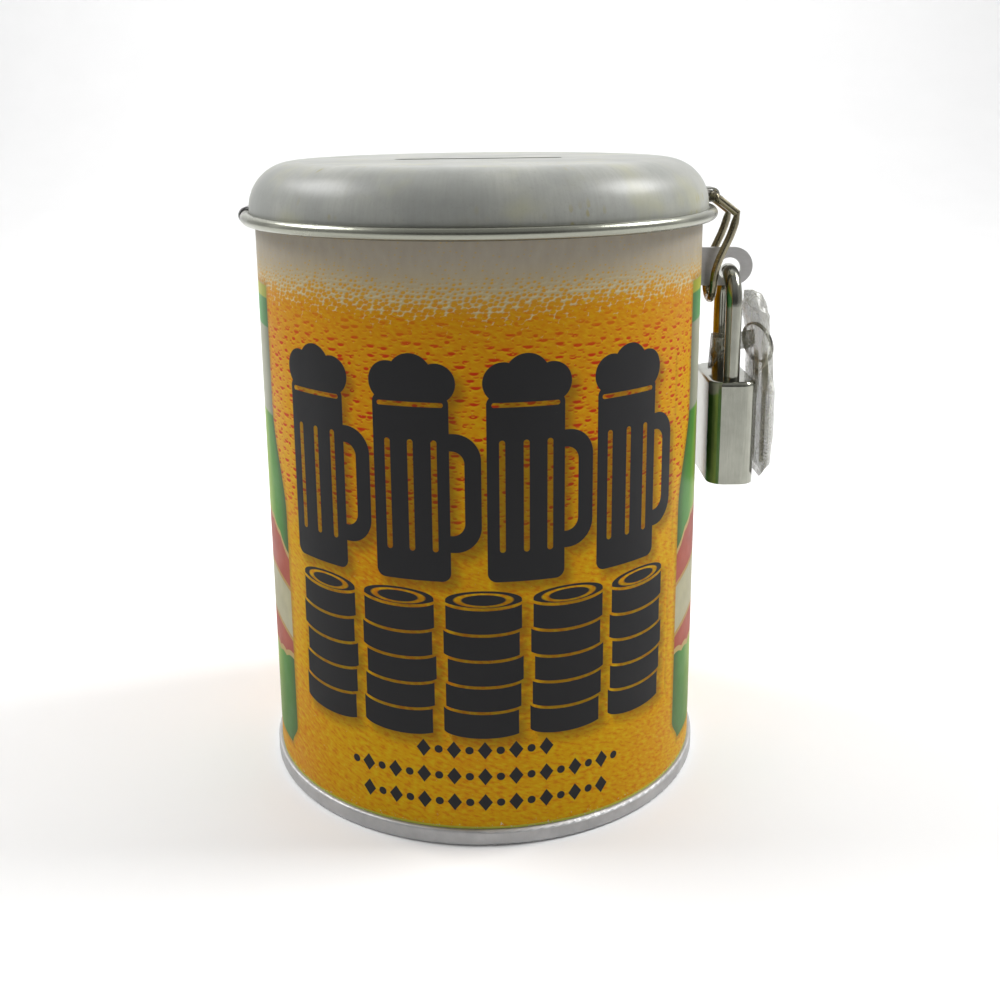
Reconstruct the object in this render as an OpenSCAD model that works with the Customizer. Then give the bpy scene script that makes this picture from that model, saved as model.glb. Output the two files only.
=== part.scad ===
// Round tin money box: printed can, hinged cap lid with a coin slot, wire bail,
// hasp tab and a small key padlock with its two keys in a clear pouch.
// Frame: +Z up, origin on the can's axis in the plane of its bottom rim.
// The artwork front faces -Y, the lid hinge is at -X, and the hasp and padlock are at +X.

/* [Can] */
// Outer diameter of the can's wall
can_d = 85; // [80:1:90]
// Height from the bottom rim to the middle of the lid's rolled bead
bead_z = 109; // [104:1:120]
// Thickness of the tinplate
sheet = 0.25; // [0.2:0.05:0.3]
// Height of the double seam at the bottom
seam_h = 3; // [2.6:0.1:3.4]

/* [Lid] */
// Height of the lid's top above the middle of its bead
lid_rise = 10; // [9.5:0.5:12]
// Outer radius of the lid's shoulder
shoulder_r = 8.5; // [7.5:0.5:9]
// Length of the coin slot
slot_len = 32; // [28:1:36]
// Width of the coin slot
slot_w = 3.4; // [3:0.1:4]

/* [Hasp and bail] */
// How far the hasp tab stands out of the can's wall
tab_reach = 10.6; // [10:0.1:11]
// Height of the hasp tab
tab_h = 7.4; // [7:0.1:8]
// Diameter of the hole for the padlock
tab_hole_d = 4.4; // [4.2:0.1:4.6]
// Diameter of the bail's wire
bail_wire_d = 1.5; // [1.4:0.1:1.6]
// Distance between the bail's two legs
bail_gap = 8; // [7.5:0.5:8.5]

/* [Padlock] */
// Width of the padlock's case
case_w = 20; // [19:0.5:21]
// Thickness of the padlock's case
case_t = 9; // [8.8:0.1:9.4]
// Height of the padlock's case
case_h = 20.3; // [19.5:0.1:21]
// Diameter of the shackle
shackle_d = 3.1; // [3:0.1:3.2]
// Distance from leg to leg of the shackle
shackle_pitch = 11.8; // [11.6:0.1:12]
// How far the shackle lifts out of the case when it is unlocked
lift = 5; // [4.8:0.1:5]

/* [Hidden] */
$fn = 96;
eps = 0.01;
far = 200;                                // longer than anything it cuts

tinplate = [0.72, 0.73, 0.72];
chrome = [0.8, 0.8, 0.8];
casting = [0.62, 0.6, 0.57];

// can
can_r = can_d / 2;
can_in_r = can_r - sheet;
rim_curl_r = 0.8;
rim_z = bead_z + 4.4;                     // top of the can's inward curl
seam_r = can_r + 0.8;
end_panel_z = 2.6;                        // the end panel is set in above the rim
seam_lap_w = 5;

// lid
lid_gap = 0.75;                           // can wall to lid skirt
lid_in_r = can_r + lid_gap;
lid_out_r = lid_in_r + sheet;
bead_r = 1.1;                             // radius of the rolled bead's section
bead_ring_r = can_r + 1.6;                // radius of the circle that the bead follows
crown_z = bead_z + lid_rise;
slot_edge_t = 0.3;                        // edge of the coin slot, turned down into the can
slot_edge_h = 1.4;

// hinge: the strip curls over the bead, which is the hinge's pin
hinge_x = -bead_ring_r;
strip_half_w = 3.2;
strip_bottom_z = bead_z - 14;
knuckle_r = 1.35;
knuckle_t = 0.25;
knuckle_end = 230;                        // degrees of wrap, from the side next to the can
window_half_w = 4.2;
window_h = 3;

// hasp
lock_x = can_r + 6.1;                     // padlock's middle plane, and the tab's hole
tab_t = 0.9;
tab_mid_z = bead_z - 11.1;
tab_hole_z = tab_mid_z - 0.5;
tab_end_r = tab_h / 2;
tab_foot_w = 8;
tab_slit_clear = 0.05;

// bail, closed: each leg runs out from the pivot, bends at an elbow, then sweeps in
wire_r = bail_wire_d / 2;
pivot = [can_r + 2, bead_z + 2.8];        // [x, z]
elbow = [can_r + 6.4, bead_z - 0.6];
sweep_1 = [can_r + 5.8, bead_z - 5.8];
sweep_2 = [can_r + 2.8, bead_z - 8.3];
leg_end = [can_r + 2.4, bead_z - 13.4];
leg_steps = 9;
leg_run = (elbow - pivot) / norm(elbow - pivot);
bend_r = 1;                               // bend at each end of the pivot bar
strap_half_w = 2.2;
strap_gap = 0.3;
strap_t = 0.3;

// shackle
leg_r = shackle_d / 2;
leg_y = shackle_pitch / 2;
crown_rest = 0.15;                        // the crown hangs this far above the hole's edge
bow_z = tab_hole_z - tab_hole_d / 2 + crown_rest + leg_r - leg_y;
case_top = bow_z - 14.2;
case_bottom = case_top - case_h;
long_leg_in = 14;
short_leg_in = 5.1;
bore_clear = 0.05;

// latch and its notch in the short leg
latch_t = 1;
latch_z = case_top - 2.2;
notch_depth = 0.85;
latch_bite = 0.7;
latch_clear = 0.1;
crank_r = 1.7;                            // the crank pin's circle
crank_pin_r = 0.5;
crank_start = -45;
latch_travel = 2 * crank_r * sin(-crank_start);
yoke_y = crank_r * sin(crank_start);
yoke_clear = 0.15;

// case, core and plug
case_wall = 0.5;
case_corner_r = 3.2;
case_edge_r = 0.8;
base_plate_t = 0.8;
base_plate_z = case_bottom + 0.2;
core_fit = 0.05;
core_bottom = base_plate_z + base_plate_t;
core_top = case_top - case_wall - core_fit;
plug_r = 3;
plug_bottom = case_bottom + 0.1;
plug_top = latch_z - 0.4;
flange_r = 3.6;
flange_t = 0.8;
keyway_w = 1;
keyway_h = 4.2;
keyway_top = case_top - 5;

// the long leg's stop pin
stop_r = 0.6;
stop_y = leg_y - leg_r - 0.1;
stop_z = case_top - 6.5;
groove_depth = 0.7;

// wafers
wafer_z = [for (i = [0:2]) case_bottom + 4.6 + 2.6 * i];
wafer_t = 0.8;
wafer_w = 2.6;
wafer_l = 5.3;
wafer_lug = 0.8;
lug_y = 1;
wafer_spring_r = 0.28;

// springs
spring_wire_r = 0.22;
spring_r = 1.2;
spring_bottom = case_bottom + 2.6;
spring_turns = 5;

// keys on a split ring, inside the pouch
ring_wire_r = 0.22;
ring_r = 4;
ring_pitch = 0.46;
ring_c = [lock_x + 6.2, 0, case_top + 5.9];
ring_lean = -12;
ring_turn = 27;
key_t = 0.7;
key_turn = -10;
key_bow_r = 4.4;
key_hole_r = 2.1;
key_rim_w = 0.9;                          // bow left above the hole
key_blade_l = 11.5;
key_blade_w = 3.6;
key_step = 1.4;                           // each key's place along the ring from its lowest point
key_hole_z = ring_c[2] - ring_r * cos(ring_lean) - 0.9;
key_mid_x = ring_c[0] + ring_r * sin(-ring_lean) - 0.1;

// pouch
film_t = 0.2;
pouch_in_x = lock_x + case_t / 2 + 0.35;
pouch_out_x = lock_x + 9.4;
pouch_half_w = 8.6;
pouch_bottom = case_bottom + 0.4;
pouch_shoulder = case_top + 6.5;
pouch_top = case_top + 17;
pouch_split_z = case_top + 2.7;           // the pouch is modelled in two nodes that meet here
pouch_back_x = lock_x + 2.7;
pouch_round = 1.3;
neck_z = case_top + 6.2;
neck_r = 2.5;
neck_end_x = can_r + 1.9;

// ---- helpers ----

// rectangle with true round corners, centred
module round_rect(x, y, r) {
    square([x, y - 2 * r], center = true);
    square([x - 2 * r, y], center = true);
    for (sx = [-1, 1], sy = [-1, 1])
        translate([sx * (x / 2 - r), sy * (y / 2 - r)]) circle(r = r, $fn = 48);
}

// upright block with round corners and a rounded top edge, standing on z = 0
module round_block(x, y, z, r, edge_r) hull()
    for (sx = [-1, 1], sy = [-1, 1]) translate([sx * (x / 2 - r), sy * (y / 2 - r), 0]) {
        cylinder(h = z - edge_r, r = r, $fn = 32);
        translate([0, 0, z - edge_r]) rotate_extrude($fn = 32)
            translate([r - edge_r, 0]) circle(r = edge_r, $fn = 24);
    }

// stadium outline, centred, long along x
module stadium(len, w) {
    square([len - w, w], center = true);
    for (s = [-1, 1]) translate([s * (len - w) / 2, 0]) circle(d = w, $fn = 48);
}

// solid skin over a run of equal rings of points, with flat ends
module skin(rings, sides) {
    n = len(rings) - 1;
    walls = [for (i = [0:n - 1], k = [0:sides - 1])
        let (p = i * sides + k, q = i * sides + (k + 1) % sides)
            [p, p + sides, q + sides, q]];
    first = [for (k = [0:sides - 1]) k];
    last = [for (k = [sides - 1:-1:0]) n * sides + k];
    polyhedron(points = [for (ring = rings, p = ring) p],
        faces = concat(walls, [first, last]), convexity = 8);
}

// coil of round wire about Z, from z = 0 up
module coil(r, wire_r, pitch, turns, steps, sides)
    skin([for (i = [0:ceil(turns * steps)]) [for (k = [0:sides - 1])
        let (a = 360 * i / steps, b = 360 * k / sides, rr = r + wire_r * cos(b))
            [rr * cos(a), rr * sin(a), pitch * a / 360 + wire_r * sin(b)]]], sides);

// wire of radius r along a path of points whose run is never along X
module wire(path, r, sides) {
    n = len(path) - 1;
    skin([for (i = [0:n])
        let (run = path[min(i + 1, n)] - path[max(i - 1, 0)],
            ahead = run / norm(run),
            side = cross([1, 0, 0], ahead) / norm(cross([1, 0, 0], ahead)),
            up = cross(ahead, side))
            [for (k = [0:sides - 1]) let (b = 360 * k / sides)
                path[i] + r * (cos(b) * side + sin(b) * up)]], sides);
}

// half ring of round wire in the Y-Z plane, arching up from z = 0
module half_hoop(ring_r, wire_r) {
    rotate([90, 0, 90]) rotate_extrude(angle = 180)
        translate([ring_r, 0]) circle(r = wire_r, $fn = 32);
}

function bezier(a, b, c, d, t) =
    pow(1 - t, 3) * a + 3 * t * pow(1 - t, 2) * b + 3 * t * t * (1 - t) * c + pow(t, 3) * d;

// ---- can ----

module body_wall() color([0.86, 0.58, 0.12]) difference() {
    union() {
        rotate_extrude() {
            translate([can_in_r, sheet]) square([sheet, rim_z - rim_curl_r - sheet]);
            // inward curl at the mouth
            translate([can_r - rim_curl_r, rim_z - rim_curl_r]) difference() {
                circle(r = rim_curl_r, $fn = 32);
                circle(r = rim_curl_r - sheet, $fn = 32);
                translate([0, -rim_curl_r]) square([rim_curl_r + 1, rim_curl_r]);
            }
            // body hook, folded out and up inside the double seam
            translate([can_in_r, sheet]) square([2 * sheet + 0.12, sheet]);
            translate([can_r + 0.12, sheet]) square([sheet, 0.6 * seam_h]);
        }
        // side seam: the sheet laps inside itself at the back
        intersection() {
            rotate_extrude() translate([can_in_r - sheet, seam_h + 0.5])
                square([sheet + eps, rim_z - 2 * rim_curl_r - seam_h - 1.5]);
            translate([-seam_lap_w / 2, 0, 0]) cube([seam_lap_w, far, far]);
        }
    }
    // slit for the hasp tab
    translate([can_r - 2, -tab_t / 2 - tab_slit_clear, tab_mid_z - tab_h / 2 - 0.3])
        cube([4, tab_t + 2 * tab_slit_clear, tab_h + 0.6]);
}

module bottom_end() color(tinplate) rotate_extrude() {
    chuck_r = can_in_r - sheet - 0.05;
    corner = 0.5;
    // outer band of the seam, with rounded top and bottom corners
    translate([seam_r - sheet, corner]) square([sheet, seam_h - 2 * corner]);
    translate([seam_r - corner, corner]) intersection() {
        difference() {
            circle(r = corner, $fn = 32);
            circle(r = corner - sheet, $fn = 32);
        }
        translate([0, -corner]) square(corner);
    }
    translate([seam_r - corner, seam_h - corner]) intersection() {
        difference() {
            circle(r = corner, $fn = 32);
            circle(r = corner - sheet, $fn = 32);
        }
        square(corner);
    }
    translate([can_r, seam_h - sheet]) square([seam_r - corner - can_r, sheet]);
    // flat that the can stands on, then the chuck wall up to the panel
    translate([chuck_r, 0]) square([seam_r - corner - chuck_r, sheet]);
    translate([chuck_r, 0]) square([sheet, end_panel_z + sheet]);
    // end panel with a stiffening ring
    translate([can_r * 0.8, end_panel_z]) square([chuck_r + sheet - can_r * 0.8, sheet]);
    translate([can_r * 0.8, end_panel_z - 0.5]) square([sheet, 0.5 + sheet]);
    translate([0, end_panel_z - 0.5]) square([can_r * 0.8 + sheet, sheet]);
}

module hinge_strip() color(tinplate) {
    // flat against the can's wall
    intersection() {
        rotate_extrude() translate([can_r, strip_bottom_z])
            square([knuckle_t, bead_z - strip_bottom_z]);
        translate([-far, -strip_half_w, 0]) cube([far, 2 * strip_half_w, far]);
    }
    // knuckle curled over the lid's bead
    translate([hinge_x, strip_half_w, bead_z]) rotate([90, 0, 0])
        rotate_extrude(angle = knuckle_end)
            translate([knuckle_r, 0]) square([knuckle_t, 2 * strip_half_w]);
}

module hasp_tab() color([0.7, 0.68, 0.7]) {
    end_x = can_r + tab_reach - tab_end_r;
    difference() {
        translate([0, tab_t / 2, 0]) rotate([90, 0, 0]) linear_extrude(tab_t) {
            translate([can_in_r - tab_t - 0.2, tab_mid_z - tab_end_r])
                square([end_x - can_in_r + tab_t + 0.2, tab_h]);
            translate([end_x, tab_mid_z]) circle(r = tab_end_r);
        }
        translate([lock_x, 0, tab_hole_z]) rotate([90, 0, 0])
            cylinder(d = tab_hole_d, h = 4 * tab_t, center = true);
    }
    // foot spread against the inside of the wall
    translate([can_in_r - tab_t - 0.2, -tab_foot_w / 2, tab_mid_z - tab_end_r])
        cube([tab_t, tab_foot_w, tab_h]);
}

// ---- lid ----

module lid_section() {
    // skirt
    translate([lid_in_r, bead_z + bead_r / 2])
        square([sheet, crown_z - shoulder_r - bead_z - bead_r / 2]);
    // shoulder
    translate([lid_out_r - shoulder_r, crown_z - shoulder_r]) intersection() {
        difference() {
            circle(r = shoulder_r);
            circle(r = shoulder_r - sheet);
        }
        square(shoulder_r);
    }
    // crown
    translate([0, crown_z - sheet]) square([lid_out_r - shoulder_r, sheet]);
}

module lid_shell() color([0.78, 0.79, 0.78]) {
    difference() {
        union() {
            rotate_extrude() lid_section();
            translate([0, 0, crown_z - slot_edge_h]) linear_extrude(slot_edge_h)
                stadium(slot_len + 2 * slot_edge_t, slot_w + 2 * slot_edge_t);
        }
        translate([0, 0, crown_z - 5]) linear_extrude(10) stadium(slot_len, slot_w);
        // window for the hinge knuckle
        translate([-far, -window_half_w, bead_z]) cube([far, 2 * window_half_w, window_h]);
        // window behind the bail's strap
        translate([can_r - 4, -strap_half_w, pivot[1] - 1]) cube([8, 2 * strap_half_w, 2]);
    }
    // bead, curled outwards and left open underneath
    rotate_extrude() translate([bead_ring_r, bead_z]) difference() {
        circle(r = bead_r, $fn = 48);
        circle(r = bead_r - sheet, $fn = 48);
        rotate(200) translate([0, -0.3]) square([2 * bead_r, 0.3]);
    }
    // strap pressed out of the skirt over the bail's pivot bar
    strap_in = wire_r + strap_gap;
    strap_foot_x = lid_in_r - 0.2;
    translate([pivot[0], strap_half_w, pivot[1]]) rotate([90, 0, 0]) {
        rotate([0, 0, -90]) rotate_extrude(angle = 180)
            translate([strap_in, 0]) square([strap_t, 2 * strap_half_w]);
        for (z = [strap_in, -strap_in - strap_t])
            translate([strap_foot_x - pivot[0], z, 0])
                cube([pivot[0] - strap_foot_x, strap_t, 2 * strap_half_w]);
    }
}

// one side of the bail, from its pivot bar down to the start of the round bottom
function bail_leg(s) = concat(
    // bend out of the pivot bar's end
    [for (a = [0:30:90]) [pivot[0] + bend_r * (1 - cos(a)) * leg_run[0],
        s * (bail_gap / 2 - bend_r + bend_r * sin(a)),
        pivot[1] + bend_r * (1 - cos(a)) * leg_run[1]]],
    // elbow and sweep
    [for (i = [0:leg_steps]) let (p = bezier(elbow, sweep_1, sweep_2, leg_end, i / leg_steps))
        [p[0], s * bail_gap / 2, p[1]]]);

module bail_wire() color([0.6, 0.58, 0.52]) {
    half = bail_gap / 2;
    // pivot bar
    translate([pivot[0], half - bend_r + 0.05, pivot[1]]) rotate([90, 0, 0])
        cylinder(h = bail_gap - 2 * bend_r + 0.1, r = wire_r + 0.02);
    left = bail_leg(-1);
    right = bail_leg(1);
    bottom = [for (a = [15:15:165])
        [leg_end[0], -half * cos(a), leg_end[1] - half * sin(a)]];
    wire(concat(left, bottom, [for (i = [len(right) - 1:-1:0]) right[i]]), wire_r, 16);
}

// ---- padlock ----

module shackle() color(chrome) difference() {
    union() {
        translate([lock_x, 0, bow_z]) half_hoop(leg_y, leg_r);
        translate([lock_x, -leg_y, case_top - short_leg_in])
            cylinder(h = bow_z - case_top + short_leg_in, r = leg_r);
        translate([lock_x, leg_y, case_top - long_leg_in])
            cylinder(h = bow_z - case_top + long_leg_in, r = leg_r);
    }
    // latch notch in the short leg
    translate([lock_x - 3, -leg_y + leg_r - notch_depth, case_top - short_leg_in + 1.2])
        cube([6, 3, 2.85]);
    // groove for the stop pin in the long leg
    translate([lock_x - 3, leg_y - leg_r + groove_depth - 3, stop_z - lift - stop_r - 0.3])
        cube([6, 3, lift + 2 * stop_r + 0.6]);
}

module lock_case() color(chrome) difference() {
    translate([lock_x, 0, case_bottom])
        round_block(case_t, case_w, case_h, case_corner_r, case_edge_r);
    translate([lock_x, 0, case_bottom - eps]) linear_extrude(case_h - case_wall + eps)
        round_rect(case_t - 2 * case_wall, case_w - 2 * case_wall,
            case_corner_r - case_wall);
    for (s = [-1, 1]) translate([lock_x, s * leg_y, case_top - 2])
        cylinder(h = 4, r = leg_r + bore_clear);
}

module lock_core() color(casting) difference() {
    translate([lock_x, 0, core_bottom]) linear_extrude(core_top - core_bottom)
        round_rect(case_t - 2 * case_wall - 2 * core_fit,
            case_w - 2 * case_wall - 2 * core_fit, case_corner_r - case_wall - core_fit);
    // bores for the two legs
    translate([lock_x, leg_y, spring_bottom]) cylinder(h = far, r = leg_r + bore_clear);
    translate([lock_x, -leg_y, case_top - short_leg_in - 0.4])
        cylinder(h = far, r = leg_r + bore_clear);
    // bore and counterbore for the plug
    translate([lock_x, 0, core_bottom - 1]) {
        cylinder(h = latch_z - core_bottom + 1, r = plug_r + bore_clear);
        cylinder(h = 1 + flange_t + 0.2, r = flange_r + 0.1);
    }
    // room for the latch, from the short leg's bore to past the plug
    translate([lock_x - 3, -leg_y, latch_z - latch_clear])
        cube([6, leg_y + 2.9, latch_t + 2 * latch_clear]);
    // cross hole for the stop pin
    translate([lock_x, stop_y, stop_z]) rotate([0, 90, 0])
        cylinder(h = far, r = stop_r, center = true);
}

module lock_base_plate() color(chrome) difference() {
    translate([lock_x, 0, base_plate_z]) linear_extrude(base_plate_t)
        round_rect(case_t - 2 * case_wall - 2 * core_fit,
            case_w - 2 * case_wall - 2 * core_fit, case_corner_r - case_wall - core_fit);
    translate([lock_x, 0, base_plate_z - 1]) cylinder(h = 4, r = plug_r + bore_clear);
}

module shackle_stop_pin() color([0.5, 0.5, 0.5])
    translate([lock_x, stop_y, stop_z]) rotate([0, 90, 0])
        cylinder(h = case_t - 2 * case_wall - 2 * core_fit, r = stop_r, center = true);

module shackle_spring() color([0.6, 0.6, 0.6]) {
    room = case_top - long_leg_in - spring_bottom - 2 * spring_wire_r - 0.1;
    translate([lock_x, leg_y, spring_bottom + spring_wire_r])
        coil(spring_r, spring_wire_r, room / spring_turns, spring_turns, 18, 6);
}

module latch() color([0.68, 0.62, 0.45]) translate([lock_x, 0, latch_z]) difference() {
    nose_y = -leg_y + leg_r - latch_bite;
    linear_extrude(latch_t) {
        translate([-1.4, nose_y]) square([2.8, yoke_y - nose_y]);
        translate([-2.4, yoke_y - 1.4]) square([5.2, 2.8]);
    }
    // yoke slot for the plug's crank pin
    slot_half = crank_pin_r + yoke_clear;
    translate([crank_r * cos(crank_start) - slot_half, yoke_y - slot_half, -1])
        cube([crank_r * (1 - cos(crank_start)) + 2 * slot_half, 2 * slot_half, 3]);
}

module plug() color([0.75, 0.66, 0.4]) translate([lock_x, 0, 0]) {
    difference() {
        union() {
            translate([0, 0, plug_bottom]) cylinder(h = plug_top - plug_bottom, r = plug_r);
            translate([0, 0, core_bottom + 0.1]) cylinder(h = flange_t, r = flange_r);
        }
        translate([-keyway_w / 2, -keyway_h / 2, plug_bottom - 1])
            cube([keyway_w, keyway_h, keyway_top - plug_bottom + 1]);
        for (z = wafer_z) {
            translate([-wafer_w / 2 - 0.05, -far / 2, z - 0.05])
                cube([wafer_w + 0.1, far, wafer_t + 0.1]);
            translate([0, -lug_y - 0.1, z - 0.05])
                cube([wafer_w / 2 + wafer_lug + 0.1, 2 * lug_y + 0.7, wafer_t + 0.1]);
        }
    }
    rotate(crank_start) translate([crank_r, 0, plug_top - 0.5])
        cylinder(h = latch_z + latch_t - plug_top + 0.3, r = crank_pin_r, $fn = 32);
}

module wafers() color([0.8, 0.7, 0.4]) for (z = wafer_z) translate([lock_x, 0, z])
    difference() {
        linear_extrude(wafer_t) {
            square([wafer_w, wafer_l], center = true);
            translate([0, lug_y]) square([wafer_w / 2 + wafer_lug, 0.5]);
        }
        translate([-keyway_w / 2 - 0.15, -keyway_h / 2 + 0.1, -1])
            cube([keyway_w + 0.3, keyway_h - 0.2, 3]);
    }

module wafer_springs() color([0.7, 0.7, 0.7]) for (z = wafer_z)
    translate([lock_x + (wafer_w + wafer_lug) / 2 + 0.05, -lug_y + 0.1, z + wafer_t / 2])
        rotate([-90, 0, 0]) coil(wafer_spring_r, 0.08, 0.42, 4, 10, 5);

// ---- keys and pouch ----

module key_ring() color([0.45, 0.44, 0.4])
    translate(ring_c) rotate([0, 0, ring_turn]) rotate([0, 90 + ring_lean, 0])
        translate([0, 0, -ring_pitch])
            coil(ring_r, ring_wire_r, ring_pitch, 2, 40, 8);

// flat key hanging by the hole in its bow
module key(place) {
    translate([key_mid_x - place * sin(ring_turn), place * cos(ring_turn), key_hole_z])
        rotate([0, 0, key_turn]) rotate([90, 0, 90])
            translate([0, 0, -key_t / 2]) linear_extrude(key_t) difference() {
                union() {
                    translate([0, key_hole_r + key_rim_w - key_bow_r])
                        circle(r = key_bow_r);
                    translate([-key_blade_w / 2, -key_bow_r * 1.4 - key_blade_l])
                        square([key_blade_w, key_blade_l + 2]);
                    translate([0, -key_bow_r * 1.4 - key_blade_l])
                        circle(d = key_blade_w, $fn = 32);
                }
                circle(r = key_hole_r, $fn = 48);
                // cuts in the blade's edge
                for (i = [0:3]) translate([key_blade_w / 2 + 0.2, -8.6 - 2.2 * i]) rotate(45)
                    square(0.9 + 0.25 * (i % 2), center = true);
            }
}

module key_1() color([0.75, 0.74, 0.7]) key(key_step);
module key_2() color([0.75, 0.74, 0.7]) key(-key_step);

// one swollen panel of the pouch; inset makes the matching hollow
module pouch_panel(x_lo, x_hi, half_w_lo, half_w_hi, z_lo, z_hi, inset) hull()
    for (p = [[z_lo, half_w_lo], [z_hi, half_w_hi]], x = [x_lo, x_hi], s = [-1, 1])
        translate([x == x_lo ? x + pouch_round : x - pouch_round,
            s * (p[1] - pouch_round), p[0]])
            sphere(r = pouch_round - inset, $fn = 20);

module pouch_form(inset) {
    pouch_panel(pouch_in_x, pouch_out_x, pouch_half_w - 1, pouch_half_w,
        pouch_bottom + pouch_round, pouch_shoulder, inset);
    pouch_panel(pouch_back_x, pouch_out_x - 0.6, pouch_half_w - 2, 3.6,
        pouch_split_z + pouch_round, pouch_top - pouch_round, inset);
    translate([neck_end_x + inset, 0, neck_z]) rotate([0, 90, 0])
        cylinder(h = pouch_in_x - neck_end_x, r = neck_r - inset, $fn = 48);
}

module pouch_film() color([0.85, 0.86, 0.86, 0.4]) difference() {
    pouch_form(0);
    pouch_form(film_t);
}

// the pouch's film up to the level of the key ring's lowest point
module key_pouch() difference() {
    pouch_film();
    translate([0, -far / 2, pouch_split_z]) cube(far);
}

// the rest of the same film, with the neck that is pushed through the shackle
module pouch_neck() difference() {
    pouch_film();
    translate([0, -far / 2, pouch_split_z - far]) cube(far);
}

body_wall();
bottom_end();
hinge_strip();
hasp_tab();
lid_shell();
bail_wire();
shackle();
lock_case();
lock_core();
lock_base_plate();
shackle_stop_pin();
shackle_spring();
latch();
plug();
wafers();
wafer_springs();
key_ring();
key_1();
key_2();
key_pouch();
pouch_neck();
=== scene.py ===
"""Looks of the tin money box: printed can and lid, hasp, bail, padlock and the pouch of keys.

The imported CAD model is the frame. The studio is in metres. The constants of the can, its
artwork and the pouch are in millimetres, and so are x, y and z of a material's graph.
"""
import math

import bmesh
import bpy
from mathutils import Matrix, Vector, noise


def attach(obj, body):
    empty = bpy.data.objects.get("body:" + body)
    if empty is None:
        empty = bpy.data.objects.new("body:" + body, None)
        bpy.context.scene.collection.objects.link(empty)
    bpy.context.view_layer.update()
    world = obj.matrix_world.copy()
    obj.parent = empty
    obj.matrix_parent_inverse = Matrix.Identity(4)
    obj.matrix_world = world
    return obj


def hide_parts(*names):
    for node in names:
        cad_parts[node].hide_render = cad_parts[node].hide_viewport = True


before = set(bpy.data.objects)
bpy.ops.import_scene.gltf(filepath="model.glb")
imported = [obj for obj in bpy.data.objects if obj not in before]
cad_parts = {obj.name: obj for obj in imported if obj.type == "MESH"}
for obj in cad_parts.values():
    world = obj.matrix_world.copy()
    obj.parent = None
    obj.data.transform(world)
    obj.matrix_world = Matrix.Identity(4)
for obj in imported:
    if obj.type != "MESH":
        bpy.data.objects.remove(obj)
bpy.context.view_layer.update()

MM = 0.001

# sizes of the can and its lid, as the part's source has them
WALL_R = 42.5
LID_R = 43.5
SHOULDER_R = 8.5
CROWN_Z = 119.0
SEAM_TOP_Z = 3.0
HALF_TURN_RUN = math.pi * WALL_R


def paint(red, green, blue):
    """A colour given as it looks on a screen, 0 to 255, as the linear values that shaders take."""
    def linear(level):
        level /= 255
        return level / 12.92 if level <= 0.04045 else ((level + 0.055) / 1.055) ** 2.4
    return linear(red), linear(green), linear(blue), 1.0


# ---- material graphs ----

class Value:
    """One number in a node tree. Arithmetic on it adds Math nodes."""

    def __init__(self, graph, socket):
        self.graph = graph
        self.socket = socket

    def __add__(self, other):
        return self.graph.math("ADD", self, other)

    def __sub__(self, other):
        return self.graph.math("SUBTRACT", self, other)

    def __rsub__(self, other):
        return self.graph.math("SUBTRACT", other, self)

    def __mul__(self, other):
        return self.graph.math("MULTIPLY", self, other)

    def __truediv__(self, other):
        return self.graph.math("DIVIDE", self, other)

    def __abs__(self):
        return self.graph.math("ABSOLUTE", self)

    __radd__ = __add__
    __rmul__ = __mul__


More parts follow.
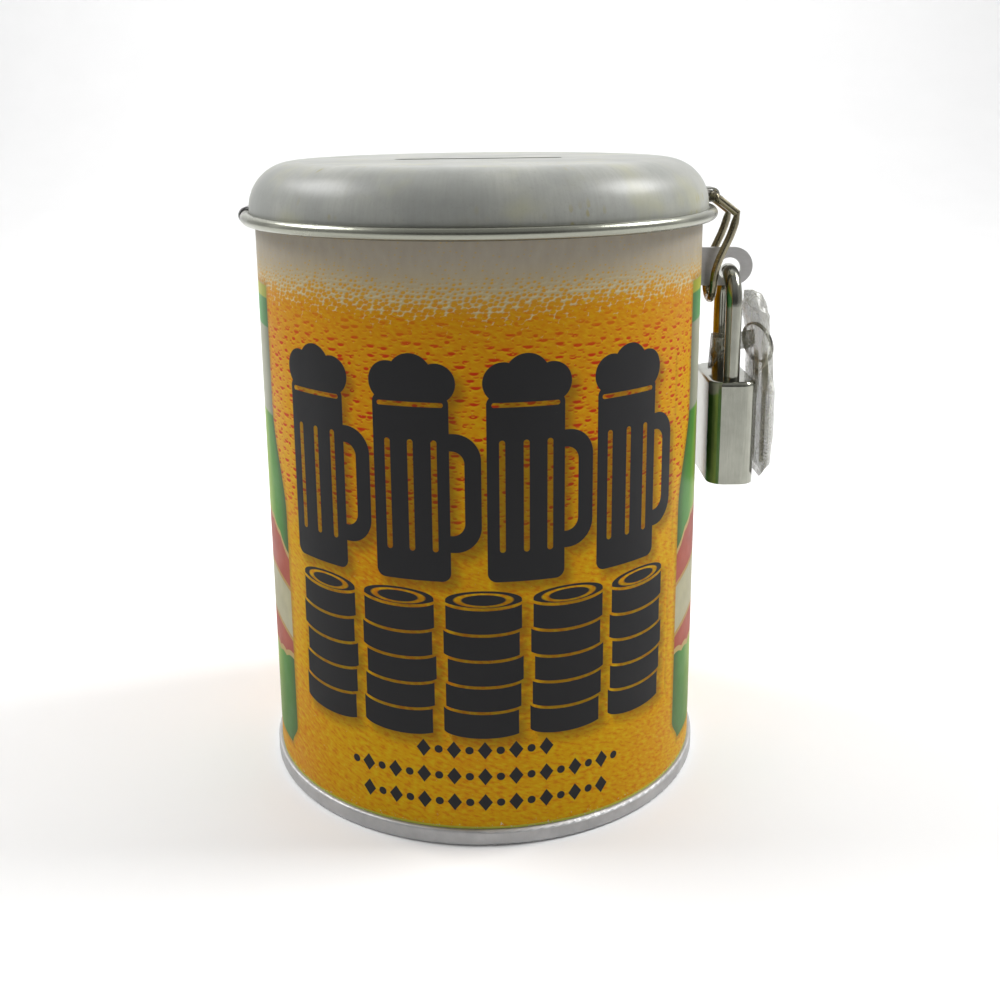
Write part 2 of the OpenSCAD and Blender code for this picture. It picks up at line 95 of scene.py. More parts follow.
class Graph:
    """A node tree; x, y and z are the place in millimetres, or a world's direction."""

    def __init__(self, tree, coordinates, unit):
        self.tree = tree
        scaled = self.node("ShaderNodeVectorMath", operation="SCALE")
        self.put(scaled.inputs[0], self.node("ShaderNodeTexCoord").outputs[coordinates])
        scaled.inputs["Scale"].default_value = 1 / unit
        self.place = scaled.outputs[0]
        parts = self.node("ShaderNodeSeparateXYZ")
        self.put(parts.inputs[0], self.place)
        self.x, self.y, self.z = (Value(self, parts.outputs[i]) for i in range(3))

    def node(self, kind, **settings):
        made = self.tree.nodes.new(kind)
        for name, value in settings.items():
            setattr(made, name, value)
        return made

    def put(self, socket, value):
        """Links a value or a socket to a node's input, or sets the input to a constant."""
        if isinstance(value, Value):
            value = value.socket
        if isinstance(value, bpy.types.NodeSocket):
            self.tree.links.new(value, socket)
        else:
            socket.default_value = value

    def math(self, operation, *operands):
        made = self.node("ShaderNodeMath", operation=operation)
        for socket, operand in zip(made.inputs, operands):
            self.put(socket, operand)
        return Value(self, made.outputs[0])

    def least(self, first, *others):
        for other in others:
            first = self.math("MINIMUM", first, other)
        return first

    def most(self, first, *others):
        for other in others:
            first = self.math("MAXIMUM", first, other)
        return first

    def length(self, a, b):
        return self.math("SQRT", a * a + b * b)

    def repeat(self, value, pitch):
        """The value repeated every pitch, from minus half a pitch to half a pitch."""
        return self.math("WRAP", value, pitch / 2, -pitch / 2)

    def rise(self, value, low, high, to_low=0.0, to_high=1.0):
        """Goes smoothly from to_low to to_high as value goes from low to high."""
        made = self.node("ShaderNodeMapRange", interpolation_type="SMOOTHSTEP")
        for socket, number in zip(made.inputs, (value, low, high, to_low, to_high)):
            self.put(socket, number)
        return Value(self, made.outputs[0])

    def above(self, value, edge, blur):
        """0 below the edge and 1 above it."""
        return self.rise(value, edge - blur, edge + blur)

    def between(self, value, low, high, blur):
        """1 from low to high and 0 outside."""
        return self.above(value, low, blur) * self.rise(value, high + blur, high - blur)

    def inside(self, distance, blur=0.07):
        """1 where the distance to an outline is negative."""
        return self.rise(distance, blur, -blur)

    def vector(self, x, y, z=0.0):
        made = self.node("ShaderNodeCombineXYZ")
        for socket, number in zip(made.inputs, (x, y, z)):
            self.put(socket, number)
        return made.outputs[0]

    def noise(self, where, scale=1.0, detail=2.0, roughness=0.5):
        made = self.node("ShaderNodeTexNoise")
        self.put(made.inputs["Vector"], where)
        made.inputs["Scale"].default_value = scale
        made.inputs["Detail"].default_value = detail
        made.inputs["Roughness"].default_value = roughness
        return Value(self, made.outputs[0])

    def cells(self, where, randomness=1.0):
        """A flat Voronoi pattern: distance, the way from the cell's point, and a random number."""
        made = self.node("ShaderNodeTexVoronoi", voronoi_dimensions="2D")
        self.put(made.inputs["Vector"], where)
        made.inputs["Scale"].default_value = 1.0
        made.inputs["Randomness"].default_value = randomness
        away = self.node("ShaderNodeVectorMath", operation="SUBTRACT")
        self.put(away.inputs[0], where)
        self.put(away.inputs[1], made.outputs["Position"])
        offset = self.node("ShaderNodeSeparateXYZ")
        self.put(offset.inputs[0], away.outputs[0])
        chance = self.node("ShaderNodeSeparateColor")
        self.put(chance.inputs[0], made.outputs["Color"])
        return (Value(self, made.outputs["Distance"]), Value(self, offset.outputs[0]),
                Value(self, offset.outputs[1]), Value(self, chance.outputs[0]))

    def mix(self, factor, first, second):
        """From the first colour at 0 to the second at 1."""
        made = self.node("ShaderNodeMix", data_type="RGBA", clamp_factor=True)
        self.put(made.inputs["Factor"], factor)
        self.put(made.inputs[6], first)
        self.put(made.inputs[7], second)
        return made.outputs[2]

    def blend(self, factor, first, second):
        """Like mix, for numbers."""
        return first + (second - first) * factor

    def ramp(self, value, *stops):
        """Colours at places from 0 to 1."""
        made = self.node("ShaderNodeValToRGB")
        self.put(made.inputs[0], value)
        marks = made.color_ramp.elements
        while len(marks) < len(stops):
            marks.new(0.5)
        for mark, (place, colour) in zip(marks, stops):
            mark.position = place
            mark.color = colour
        return made.outputs[0]


class Material(Graph):
    """A material made of one Principled shader."""

    def __init__(self, name):
        self.material = bpy.data.materials.new(name)
        self.material.use_nodes = True
        self.material.node_tree.nodes.clear()
        super().__init__(self.material.node_tree, "Object", MM)
        self.shader = self.node("ShaderNodeBsdfPrincipled")
        output = self.node("ShaderNodeOutputMaterial")
        self.tree.links.new(self.shader.outputs["BSDF"], output.inputs["Surface"])

    def set(self, **inputs):
        """Sets inputs of the shader by name, with _ for a space."""
        for name, value in inputs.items():
            self.put(self.shader.inputs[name.replace("_", " ")], value)

    def bump(self, height, distance):
        """Relief on the surface: height is a value, and distance its size in millimetres."""
        made = self.node("ShaderNodeBump")
        made.inputs["Strength"].default_value = 1.0
        made.inputs["Distance"].default_value = distance * MM
        self.put(made.inputs["Height"], height)
        self.put(self.shader.inputs["Normal"], made.outputs[0])


def round_box(g, x, y, half_x, half_y, corner):
    """Distance to a rectangle with round corners."""
    over_x = g.most(abs(x) - (half_x - corner), 0.0)
    over_y = g.most(abs(y) - (half_y - corner), 0.0)
    return g.length(over_x, over_y) - corner


# ---- the can's artwork; run is the way round the wall, measured from the front ----

MUG_PITCH = 19.6
MUG_ROW_Z = 69.75
MUG_GLASS_U = -2.3
MUG_GRIP_MIDDLE = (4.6, -4.0)
# bulges of a mug's froth: middle across and up, and radius
MUG_FROTH = ((-6.1, 14.9, 3.5), (-2.1, 15.9, 3.9), (2.2, 14.8, 3.4))
# between the upright slots in a mug's glass
MUG_SLOT_PITCH = 4.1

STACK_PITCH = 15.2
STACK_BOTTOM_Z = 20.8
COINS = 5
COIN_PITCH = 4.86
COIN_HALF_WIDTH = 6.6
# half height of a coin's face, which is seen from a little above
COIN_FACE_HALF = 1.7
# how far the coins of a stack are shifted sideways at most, and the gap between them
COIN_SHIFT = 1.1
COIN_GAP = 0.54

# heights of the small rows, and the number of marks in each
ORNAMENT_ROWS = ((18.5, 9), (13.4, 19), (8.3, 17))
ORNAMENT_PITCH = 2.75

# where the shade of the black shapes falls, across and up
SHADE_SHIFT = (1.3, -1.5)

BOTTLE_RUN = 56.5
BOTTLE_BOTTOM_Z = 7.8
BOTTLE_TOP_Z = 97.6
BOTTLE_HALF_WIDTH = 13.2
NECK_HALF_WIDTH = 8.3
# where the foil on a bottle's neck, its green ring and its cap begin
FOIL_Z = 73.5
RING_Z = 89.95
CAP_Z = 95.35
LABEL_BOTTOM_Z = 25.0
LABEL_TOP_Z = 54.0
LABEL_BAND_Z = (33.0, 42.4)
LABEL_LINE = 0.8


def mug(g, u, v, with_slots):
    """Distance to a beer mug's outline; u and v are measured from its middle."""
    glass_u = u - MUG_GLASS_U
    glass = round_box(g, glass_u, v + 3.4, half_x=6.7, half_y=16.3, corner=1.6)
    froth = g.least(*(g.length(u - middle_u, v - middle_v) - radius
                      for middle_u, middle_v, radius in MUG_FROTH))
    grip_u = u - MUG_GRIP_MIDDLE[0]
    grip_v = v - MUG_GRIP_MIDDLE[1]
    grip = g.most(
        round_box(g, grip_u, grip_v, half_x=5.1, half_y=10.4, corner=4.6),
        0 - round_box(g, grip_u, grip_v, half_x=2.3, half_y=7.4, corner=2.2))
    outline = g.least(glass, froth, grip)
    if not with_slots:
        return outline
    slot_u = g.repeat(glass_u, MUG_SLOT_PITCH)
    slots = round_box(g, slot_u, v + 4.6, half_x=0.5, half_y=9.8, corner=0.5)
    slots = g.most(slots, abs(glass_u) - 5.6)
    froth_line = round_box(g, glass_u, v - 11.2, half_x=5.8, half_y=0.4, corner=0.4)
    return g.most(outline, 0 - g.least(slots, froth_line))


def coin_stack(g, u, z):
    """Distance to a stack of coins seen from a little above; u is measured from its middle."""
    def sag(off, half):
        return g.math("SQRT", g.most(1 - off * off / (half * half), 0.0)) * COIN_FACE_HALF

    # the gaps between the coins share one curve, and every coin is shifted sideways along it
    base = z - COIN_FACE_HALF - STACK_BOTTOM_Z
    front = base + sag(u, COIN_HALF_WIDTH + 0.6)
    level = g.least(g.math("FLOOR", front / COIN_PITCH), COINS - 1)
    u = u - (g.math("FRACT", level * 0.382) - 0.5) * COIN_SHIFT
    back = base - sag(u, COIN_HALF_WIDTH)
    height = COINS * COIN_PITCH
    outline = g.most(abs(u) - COIN_HALF_WIDTH, 0 - front, back - height)
    # a gap over every coin, and the rim on the top one
    gap = g.most(abs(g.repeat(front, COIN_PITCH)) - COIN_GAP / 2, 0.5 - front)
    from_middle = g.length(u / COIN_HALF_WIDTH, (base - height) / COIN_FACE_HALF)
    rim = abs(from_middle - 0.68) * COIN_FACE_HALF - 0.16
    return g.most(outline, 0 - gap, 0 - rim)


def black_shapes(g, run, z, with_slots):
    """Distance to the four mugs above the five coin stacks."""
    mugs = mug(g, g.repeat(run - MUG_PITCH / 2, MUG_PITCH), z - MUG_ROW_Z, with_slots)
    mugs = g.most(mugs, abs(run) - 2 * MUG_PITCH)
    stacks = coin_stack(g, g.repeat(run, STACK_PITCH), z)
    stacks = g.most(stacks, abs(run) - 2.5 * STACK_PITCH)
    return g.least(mugs, stacks)


def ornament(g, run, z):
    """Distance to the three small rows of diamonds and dots."""
    u = abs(g.repeat(run, ORNAMENT_PITCH))
    # 0 at a diamond and 1 at a dot
    odd = abs(g.repeat(g.math("FLOOR", run / ORNAMENT_PITCH + 0.5), 2.0))
    rows = []
    for row_z, count in ORNAMENT_ROWS:
        v = abs(z - row_z)
        diamond = (u * 1.3 + v - 1.7) * 0.65
        dot = g.length(u, v) - 0.75
        row_end = abs(run) - count * ORNAMENT_PITCH / 2
        rows.append(g.most(g.blend(odd, diamond, dot), row_end, v - 2.0))
    return g.least(*rows)


def liquid(g, run, z):
    """Colour of the beer and its foam."""
    # the beer and foam meet along a wavy line
    sway = (g.noise(g.vector(run * 0.02, z * 0.02), detail=3.0) - 0.5) * 7
    level = z + sway
    # slow changes of tone, from golden to orange
    tone = g.noise(g.vector(run * 0.035, z * 0.02, 4.0))
    amber = g.mix(g.rise(tone, 0.35, 0.7), paint(198, 148, 6), paint(196, 132, 6))
    amber = g.mix(g.rise(level, 78, 95), amber, paint(191, 130, 10))
    # fine slanting ripples, light and dark, that are stronger lower down
    slant = math.radians(18)
    along = run * math.cos(slant) - z * math.sin(slant)
    across = run * math.sin(slant) + z * math.cos(slant)
    ripple = g.noise(g.vector(along * 0.75, across * 1.7))
    contrast = g.rise(z, 70, 50, 0.33, 0.6)
    amber = g.mix(g.rise(ripple, 0.5, 0.66) * contrast, amber, paint(200, 170, 20))
    amber = g.mix(g.rise(ripple, 0.48, 0.34) * contrast, amber, paint(186, 98, 8))
    # droplets, large and small: short red crescents with a bright lower edge
    flatness = 0.66
    shown = g.between(z, 57.0, 94.0, blur=6.0)
    for size, strength in ((2.9, 1.0), (1.75, 0.6)):
        cell = g.vector(run / size, z / (flatness * size))
        _, off_u, off_v, chance = g.cells(cell, randomness=0.85)
        bend = off_v * flatness - off_u * off_u * 0.55
        reach = g.blend(chance, 0.14, 0.42)
        drop = g.length(off_u / reach, bend / 0.115)
        glint = g.length(off_u / reach, (bend + 0.15) / 0.1)
        amber = g.mix(g.rise(glint, 1.1, 0.3) * shown * 0.5, amber, paint(212, 172, 24))
        amber = g.mix(g.rise(drop, 1.15, 0.55) * shown * strength, amber, paint(182, 52, 12))
    # bubbles: specks of beer in the foam, opening downwards until only a pale lace is left
    far, off_u, off_v, chance = g.cells(g.vector(run - z * 0.3, z / 0.72), randomness=0.62)
    opening = g.rise(level, 105, 90, -0.05, 0.95)
    open_here = g.rise(far - opening - (chance - 0.5) * 0.28, 0.2, -0.14)
    froth = g.noise(g.vector(run * 0.6, z * 0.25), detail=3.0, roughness=0.6)
    foam = g.mix(froth, paint(166, 158, 142), paint(148, 140, 128))
    foam = g.mix(g.rise(level, 106, 92), foam, paint(188, 166, 104))
    lit_side = g.rise(off_v - off_u * 0.4, 0.05, -0.4) * g.between(level, 94.0, 99.5, blur=3.0)
    foam = g.mix(lit_side * 0.5, foam, paint(208, 198, 168))
    glow = g.mix(g.rise(level, 104, 95), paint(182, 148, 70), amber)
    return g.mix(open_here, foam, glow)


def bottle_colour(g, off, half, z):
    """Colour across a bottle; off is the run from its middle line and half its half width."""
    side = off / half * 0.5 + 0.5
    glass = g.ramp(
        side, (0.0, paint(52, 92, 48)), (0.1, paint(64, 138, 58)), (0.24, paint(84, 160, 62)),
        (0.42, paint(168, 204, 92)), (0.52, paint(188, 214, 120)), (0.64, paint(104, 168, 70)),
        (0.88, paint(62, 132, 56)), (1.0, paint(48, 88, 46)))
    colour = g.mix(g.rise(z, 30, 12) * 0.6, glass, paint(84, 128, 74))
    foil = g.ramp(
        side, (0.0, paint(120, 128, 112)), (0.2, paint(176, 180, 160)),
        (0.5, paint(214, 216, 196)), (0.75, paint(182, 186, 168)), (1.0, paint(116, 122, 108)))
    ring = g.ramp(
        side, (0.0, paint(40, 110, 60)), (0.5, paint(104, 190, 112)), (1.0, paint(40, 110, 60)))
    cap = g.ramp(
        side, (0.0, paint(150, 160, 40)), (0.5, paint(212, 214, 84)), (1.0, paint(150, 160, 40)))
    for bottom_z, blur, part in ((FOIL_Z, 0.3, foil), (RING_Z, 0.15, ring), (CAP_Z, 0.15, cap)):
        colour = g.mix(g.above(z, bottom_z, blur), colour, part)
    # the label: red with a cream band between gold lines, and a gold edge
    bow = side * 2 - 1
    bow = bow * bow
    mottle = g.noise(g.vector(off * 0.3, z * 0.3, 9.0), detail=3.0)
    red = g.mix(mottle, paint(160, 52, 44), paint(206, 100, 84))
    cream = g.mix(mottle, paint(214, 206, 168), paint(176, 176, 150))
    band_low, band_high = LABEL_BAND_Z
    arched = z + bow * 2.0
    label = g.mix(g.between(arched, band_low, band_high, blur=0.12), red, cream)
    band_half = (band_high - band_low) / 2
    beside_band = g.above(abs(arched - (band_low + band_half)), band_half, blur=0.1)
    lines = g.between(arched, band_low - LABEL_LINE, band_high + LABEL_LINE, blur=0.1) * beside_band
    label = g.mix(lines, label, paint(196, 158, 84))
    scallop = abs(g.math("SINE", off * 0.7)) * 0.5
    inward = g.least(
        LABEL_TOP_Z - bow * 6.0 - scallop - z, z - LABEL_BOTTOM_Z - bow * 1.5 - scallop)
    label = g.mix(g.rise(inward, 1.2, 1.0), label, paint(206, 176, 112))
    return g.mix(g.above(inward, 0.0, blur=0.1), colour, label)


def printed_tin():
    """Tinplate printed with beer, foam, bottles and black shapes, bare inside."""
    g = Material("printed_tin")
    radius = g.length(g.x, g.y)
    run = g.math("ARCTAN2", g.x, 0 - g.y) * WALL_R
    colour = liquid(g, run, g.z)
    # bottles at both sides, narrower at the neck and the foot, with a narrow shade around them
    off = abs(run) - BOTTLE_RUN
    half = g.rise(g.z, 55.5, 76.0, BOTTLE_HALF_WIDTH, NECK_HALF_WIDTH)
    half = half - g.rise(g.z, 12.5, 7.5, 0.0, 3.0)
    beside = g.most(abs(off) - half, BOTTLE_BOTTOM_Z - g.z, g.z - BOTTLE_TOP_Z)
    colour = g.mix(g.rise(beside, 1.6, 0.0) * 0.4, colour, paint(96, 74, 24))
    bottle = g.mix(0.4, bottle_colour(g, off, half, g.z), paint(74, 66, 44))
    colour = g.mix(g.inside(beside), colour, bottle)
    # the black shapes are printed twice round the can, over a soft shade
    front = g.repeat(run, HALF_TURN_RUN)
    shade = black_shapes(g, front - SHADE_SHIFT[0], g.z - SHADE_SHIFT[1], with_slots=False)
    colour = g.mix(g.rise(shade, 1.5, -1.3) * 0.55, colour, paint(72, 56, 18))
    shapes = black_shapes(g, front, g.z, with_slots=True)
    inked = g.inside(g.least(shapes, ornament(g, front, g.z)))
    colour = g.mix(inked, colour, paint(45, 45, 46))
    # a thin yellow-green line shows where the print ends above the seam
    colour = g.mix(g.rise(g.z, SEAM_TOP_Z + 0.6, SEAM_TOP_Z + 0.3), colour, paint(176, 178, 70))
    # bare metal inside, and in specks where the print has rubbed off, mostly at the bottom
    scuff = g.noise(g.place, scale=1.4, detail=6.0, roughness=0.7)
    rubbed = g.rise(scuff + g.rise(g.z, 6.0, SEAM_TOP_Z, 0.0, 0.16), 0.73, 0.78)
    bare = g.most(g.rise(radius, WALL_R - 0.08, WALL_R - 0.14), rubbed * 0.8)
    g.set(Base_Color=g.mix(bare, colour, paint(188, 184, 166)), Metallic=bare * 0.9)
    smudge = g.noise(g.place, scale=0.12, detail=4.0, roughness=0.6)
    g.set(Roughness=g.rise(smudge, 0.3, 0.75, 0.4, 0.54) - bare * 0.06, Specular_IOR_Level=0.07)
    g.bump(g.noise(g.place, scale=1.6) + inked * 0.25, distance=0.012)
    return g.material


def printed_lid():
    """Pale grey enamel with faint streaks and worn flecks; its bead and inside are bare."""
    g = Material("printed_lid")
    radius = g.length(g.x, g.y)
    turn = g.math("ARCTAN2", g.x, 0 - g.y)
    # 0 on the outside of the sheet, and negative on its inside
    depth = g.length(
        g.most(radius - (LID_R - SHOULDER_R), 0.0),
        g.most(g.z - (CROWN_Z - SHOULDER_R), 0.0)) - SHOULDER_R
    cloud = g.noise(g.place, scale=0.05, detail=4.0, roughness=0.6)
    streak = g.noise(g.vector(turn * 60, g.z * 0.12, radius * 0.12), roughness=0.7)
    grit = g.noise(g.place, scale=1.8, detail=3.0, roughness=0.7)
    enamel = g.mix(g.rise(cloud, 0.3, 0.7), paint(172, 173, 166), paint(148, 150, 146))
    enamel = g.mix(g.rise(streak, 0.35, 0.75) * 0.3, enamel, paint(140, 141, 134))
    enamel = g.mix(g.rise(grit, 0.5, 0.75) * 0.3, enamel, paint(134, 136, 128))
    # yellow-olive flecks in loose patches, taller than wide
    around = turn * 43
    far, _, _, chance = g.cells(g.vector(around / 1.5, (g.z + radius) / 2.2))
    patch = g.rise(g.noise(g.place, scale=0.06), 0.46, 0.62)
    fleck = g.rise(far, 0.34, 0.12) * g.rise(chance, 0.66, 0.74) * patch
    enamel = g.mix(fleck * 0.7, enamel, paint(150, 140, 70))
    haze = g.rise(g.noise(g.place, scale=0.11, detail=3.0), 0.5, 0.75)
    enamel = g.mix(haze * 0.4, enamel, paint(176, 175, 138))
    # bare metal on the bead, inside, and in specks where the enamel has chipped
    chipped = g.rise(g.noise(g.place, scale=1.1, detail=6.0, roughness=0.75), 0.72, 0.78)
    bead = g.rise(radius, LID_R + 0.03, LID_R + 0.12)
    bare = g.most(bead, g.rise(depth, -0.08, -0.16), chipped)
    g.set(Base_Color=g.mix(bare, enamel, paint(156, 157, 145)), Metallic=bare)
    g.set(Roughness=g.blend(bare, 0.32, 0.2) + cloud * 0.12, Specular_IOR_Level=0.32)
    g.bump(g.noise(g.place, scale=0.35, detail=3.0) + streak * 0.1, distance=0.03)
    return g.material


# ---- plain materials ----

def plain_metal(name, light, dark, rough, grain=(1.0, 1.0, 1.0), relief=0.01):
    """Metal whose tone, gloss and relief vary; grain stretches the pattern along an axis."""
    g = Material(name)
    stretched = g.vector(g.x * grain[0], g.y * grain[1], g.z * grain[2])
    wide = g.noise(g.place, scale=0.25, detail=4.0, roughness=0.6)
    fine = g.noise(stretched, scale=3.0, detail=4.0, roughness=0.7)
    tone = g.rise(wide * 0.5 + fine * 0.5, 0.3, 0.7)
    g.set(Base_Color=g.mix(tone, paint(*dark), paint(*light)), Metallic=1.0)
    g.set(Roughness=g.rise(fine, 0.2, 0.8, rough * 0.75, rough * 1.35))
    g.bump(fine, relief)
    return g.material


def clear_film():
    """Thin clear film, cloudy grey with painted shade in the hollows of its relief, a painted
    highlight along creases, and whiter along welded edges.
    """
    g = Material("pouch_film")
    upright = g.vector(g.x, g.y, g.z * 0.35)
    creases = g.rise(abs(g.noise(upright, scale=0.3) - 0.5), 0.035, 0.0)
    hollows = g.noise(upright, scale=0.5)
    weld = g.rise(abs(g.y), 7.4, 7.7) * g.rise(g.z, 84.0, 80.0)
    ribs = g.rise(g.math("SINE", g.z * 9.0), -0.3, 0.6)
    # painted shade: the film is painted darker where its relief is low, in its hollows
    film_with_painted_shade = g.mix(g.rise(hollows, 0.3, 0.7), paint(110, 110, 94), paint(160, 160, 143))
    # painted highlight: the film is painted whiter along its creases
    g.set(Base_Color=g.mix(creases * 0.7, film_with_painted_shade, paint(214, 214, 200)))
    g.set(Alpha=0.4 + hollows * 0.25 + creases * 0.15 + weld * (0.1 + ribs * 0.1))
    g.set(Roughness=0.14 + hollows * 0.16, Specular_IOR_Level=0.7)
    g.bump(creases * 0.5 + hollows + weld * ribs * 0.3, distance=0.35)
    return g.material


# every CAD node has one of these, or shares another node's
MATERIALS = {
    "body_wall": printed_tin(),
    "lid_shell": printed_lid(),
    "bottom_end": plain_metal("tinplate", (196, 196, 196), (172, 172, 173), 0.58, (1, 1, 0.2)),
    "hasp_tab": plain_metal("hasp_steel", (194, 192, 190), (180, 178, 176), 0.35, (0.3, 1, 1)),
    "bail_wire": plain_metal("bail_wire", (150, 144, 122), (104, 98, 80), 0.22),
    "shackle": plain_metal(
        "lock_chrome", (164, 164, 153), (142, 143, 133), 0.15, (1, 1, 0.06), relief=0.004),
    "lock_core": plain_metal("lock_casting", (150, 146, 138), (122, 118, 112), 0.5),
    "plug": plain_metal("lock_brass", (206, 180, 116), (172, 146, 88), 0.3),
    "shackle_spring": plain_metal("spring_steel", (168, 166, 160), (130, 128, 122), 0.28),
    "key_1": plain_metal("key_steel", (206, 204, 196), (176, 172, 160), 0.25),
}
SAME_AS = {
    "hinge_strip": "bottom_end", "lock_case": "shackle", "lock_base_plate": "shackle",
    "shackle_stop_pin": "shackle_spring", "latch": "plug", "wafers": "plug",
    "wafer_springs": "shackle_spring", "key_ring": "shackle_spring", "key_2": "key_1",
    "key_pouch": "key_1", "pouch_neck": "key_1",
}


def dress_frame():
    """Gives every CAD node its material."""
    for name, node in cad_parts.items():
        material = MATERIALS[SAME_AS.get(name, name)]
        node.data.materials.clear()
        node.data.materials.append(material)


# ---- pouch ----

# the bag's levels: height, middle x, half thickness, half width, crumple
BAG_LEVELS = (
    (57.2, 54.6, 0.08, 7.0, 0.0),
    (58.2, 54.8, 0.1, 8.2, 0.05),
    (59.6, 55.5, 1.95, 8.4, 0.1),
    (66.0, 55.65, 2.15, 8.4, 0.14),
    (74.0, 55.6, 2.1, 8.3, 0.16),
    (80.0, 55.2, 1.85, 7.6, 0.2),
    (84.5, 54.8, 1.85, 6.0, 0.3),
    (88.0, 54.2, 2.2, 4.0, 0.4),
    (90.6, 53.8, 2.3, 2.4, 0.4),
    (92.2, 53.3, 1.8, 1.2, 0.3),
    (93.2, 52.6, 0.9, 0.5, 0.1),
)
BAG_RINGS = 110
BAG_POINTS = 96
BAG_FOLD = 5.0
WELD_HALF_THICKNESS = 0.04

# the neck's places along x: x, middle height, half height, half width, crumple
NECK_LEVELS = (
    (53.9, 83.6, 1.6, 1.6, 0.1),
    (51.5, 83.2, 1.5, 1.5, 0.2),
    (49.0, 82.8, 1.3, 1.5, 0.2),
    (47.4, 82.2, 2.1, 1.7, 0.35),
    (46.0, 81.6, 2.9, 1.5, 0.5),
    (45.0, 81.2, 3.3, 0.7, 0.5),
)
NECK_RINGS = 44
NECK_POINTS = 64
NECK_FOLD = 2.6
NECK_PLEATS = 7


def between_levels(levels, place):
    """The row of numbers at a place from 0 to 1 along the levels."""
    place = min(max(place, 0.0), 1.0) * (len(levels) - 1)
    index = min(int(place), len(levels) - 2)
    part = place - index
    return [a + (b - a) * part for a, b in zip(levels[index], levels[index + 1])]


def crease(point, size):
    """Sharp ridges and soft hollows, between -1 and 1, like crumpled film."""
    first = 1 - 3 * abs(noise.noise(point / size))
    second = 1 - 3 * abs(noise.noise(point / (0.45 * size) + Vector((7, 3, 5))))
    return max(-1.0, min(1.0, 0.7 * first + 0.3 * second))


def turns(count):
    """Angles of equal steps round a full turn."""
    return [2 * math.pi * k / count for k in range(count)]


def bag_ring(place):
    """Points of one level of the bag, flat at the welded edges and fuller in the middle."""
    z, middle, thick, wide, crumple = between_levels(BAG_LEVELS, place)
    ring = []
    for angle in turns(BAG_POINTS):
        across = math.sin(angle)
        side = math.cos(angle)
        bulge = WELD_HALF_THICKNESS + thick * (1 - abs(across) ** 3.2) ** 0.9
        # near the welded edges the two faces come together
        bulge *= min(abs(side) / 0.2, 1.0)
        point = Vector((middle + math.copysign(bulge, side), wide * across, z))
        fold = crease(point, BAG_FOLD) * crumple
        ring.append(point + Vector((side * fold, across * fold * 0.5, fold * 0.4)))
    return ring


def neck_ring(place):
    """Points of one section of the pleated neck, which is pushed through the shackle."""
    x, height, tall, wide, crumple = between_levels(NECK_LEVELS, place)
    ring = []
    for angle in turns(NECK_POINTS):
        pleat = 1 + 0.13 * math.cos(NECK_PLEATS * angle + 2 * place)
        y = wide * math.cos(angle) * pleat
        z = height + tall * math.sin(angle) * pleat
        point = Vector((x, y, z))
        fold = crease(point, NECK_FOLD) * crumple
        ragged = (noise.noise(Vector((angle, 0, 3))) + 0.5) * 1.6 * place ** 4
        ring.append(point + Vector((ragged, math.cos(angle) * fold, math.sin(angle) * fold)))
    return ring


def tube(mesh, rings):
    """Adds a closed skin over a run of equal rings of points to a bmesh."""
    corners = [[mesh.verts.new(point * MM) for point in ring] for ring in rings]
    count = len(corners[0])
    for low, high in zip(corners, corners[1:]):
        for k in range(count):
            after = (k + 1) % count
            mesh.faces.new((low[k], low[after], high[after], high[k]))
    mesh.faces.new(corners[0][::-1])
    mesh.faces.new(corners[-1])


def make_pouch(material):
    """Crumpled clear bag round the keys, with its gathered neck through the shackle."""
    mesh = bmesh.new()
    tube(mesh, [bag_ring(i / BAG_RINGS) for i in range(BAG_RINGS + 1)])
    tube(mesh, [neck_ring(i / NECK_RINGS) for i in range(NECK_RINGS + 1)])
    bmesh.ops.recalc_face_normals(mesh, faces=mesh.faces)
    data = bpy.data.meshes.new("key_bag")
    mesh.to_mesh(data)
    mesh.free()
    for face in data.polygons:
        face.use_smooth = True
    data.materials.append(material)
    bag = bpy.data.objects.new("key_bag", data)
    bpy.context.scene.collection.objects.link(bag)
    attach(bag, "key_bundle")
    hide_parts("key_pouch", "pouch_neck")


# ---- studio, in metres ----

CAMERA_PLACE = (0, -0.2314, 0.1278)
CAMERA_PITCH = math.radians(76.4)
CAMERA_ROLL = math.radians(-0.67)
AIM_OF_LIGHTS = Vector((0, 0, 0.07))

FLOOR_HALF_WIDTH = 3.0
FLOOR_FRONT_Y = -2.0
SWEEP_START_Y = 0.9
SWEEP_RADIUS = 0.5
BACK_WALL_TOP_Z = 3.0


def make_camera():
    """A camera at the height and tilt of a person looking at the box on a table."""
    data = bpy.data.cameras.new("camera")
    data.lens = 42.88
    data.shift_x = 0.019
    data.shift_y = -0.101
    data.clip_start = 0.01
    camera = bpy.data.objects.new("camera", data)
    bpy.context.scene.collection.objects.link(camera)
    aim = Matrix.Rotation(CAMERA_PITCH, 4, "X") @ Matrix.Rotation(CAMERA_ROLL, 4, "Z")
    camera.matrix_world = Matrix.Translation(CAMERA_PLACE) @ aim
    bpy.context.scene.camera = camera


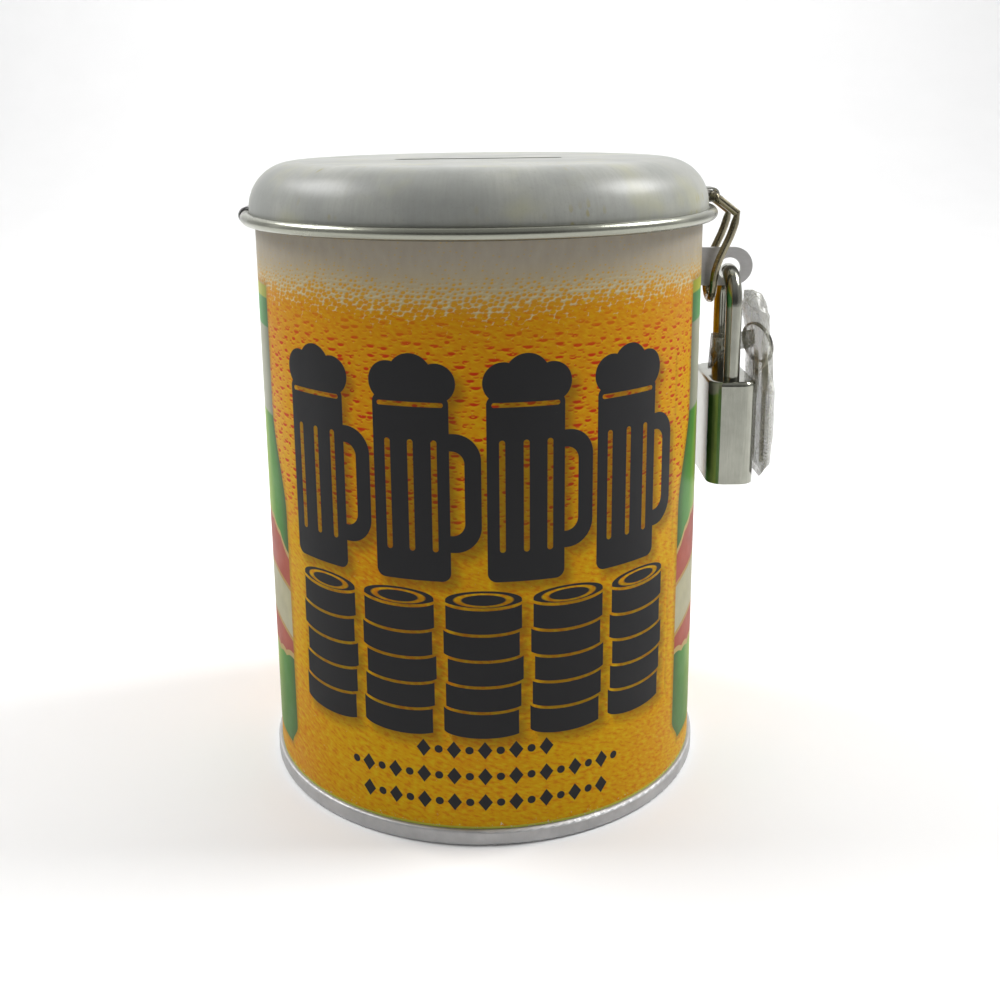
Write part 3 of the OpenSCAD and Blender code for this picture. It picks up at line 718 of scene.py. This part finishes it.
def make_world():
    """A white backdrop behind the box, dimmer walls at its sides and a dark camera side."""
    world = bpy.data.worlds.new("studio")
    world.use_nodes = True
    g = Graph(world.node_tree, "Generated", 1.0)
    background = world.node_tree.nodes["Background"]
    background.inputs["Color"].default_value = paint(255, 255, 255)
    walls = g.rise(abs(g.x), 0.4, 1.0, 0.08, 0.4)
    backdrop = g.rise(g.y, -0.05, 0.5, 0.0, 1.3)
    ceiling = g.rise(g.z, 0.2, 0.9, 0.0, 0.3)
    g.put(background.inputs["Strength"], g.most(walls + ceiling, backdrop))
    bpy.context.scene.world = world


def make_light(name, place, size, power):
    """A rectangular softbox turned towards the box."""
    data = bpy.data.lights.new(name, "AREA")
    data.shape = "RECTANGLE"
    data.size, data.size_y = size
    data.energy = power
    light = bpy.data.objects.new(name, data)
    bpy.context.scene.collection.objects.link(light)
    light.location = place
    toward = AIM_OF_LIGHTS - light.location
    light.rotation_euler = toward.to_track_quat("-Z", "Y").to_euler()
    return light


def make_floor():
    """A white floor that sweeps up into a back wall."""
    profile = [(FLOOR_FRONT_Y, 0.0), (SWEEP_START_Y, 0.0)]
    for angle in (math.radians(step) for step in range(10, 91, 10)):
        y = SWEEP_START_Y + SWEEP_RADIUS * math.sin(angle)
        profile.append((y, SWEEP_RADIUS * (1 - math.cos(angle))))
    profile.append((SWEEP_START_Y + SWEEP_RADIUS, BACK_WALL_TOP_Z))
    sides = (-FLOOR_HALF_WIDTH, FLOOR_HALF_WIDTH)
    corners = [(side, y, z) for y, z in profile for side in sides]
    faces = [(i, i + 1, i + 3, i + 2) for i in range(0, len(corners) - 2, 2)]
    mesh = bpy.data.meshes.new("floor")
    mesh.from_pydata(corners, [], faces)
    for face in mesh.polygons:
        face.use_smooth = True
    floor = bpy.data.objects.new("floor", mesh)
    bpy.context.scene.collection.objects.link(floor)
    g = Material("floor")
    speckle = g.noise(g.place, scale=0.02, detail=3.0)
    g.set(Base_Color=g.mix(speckle, paint(246, 246, 246), paint(250, 250, 250)), Roughness=0.7)
    mesh.materials.append(g.material)


make_camera()
make_world()
make_light("left_softbox", (-0.55, 0.16, 0.62), (0.4, 0.25), 4.2)
make_light("right_softbox", (0.58, 0.1, 0.6), (0.3, 0.25), 5.0)
backdrop_light = make_light("backdrop_light", (0, 0.55, 1.2), (2.0, 0.3), 14)
backdrop_light.rotation_euler = (math.radians(70), 0, 0)
make_floor()
bpy.context.scene.view_settings.view_transform = "Standard"

dress_frame()
make_pouch(clear_film())
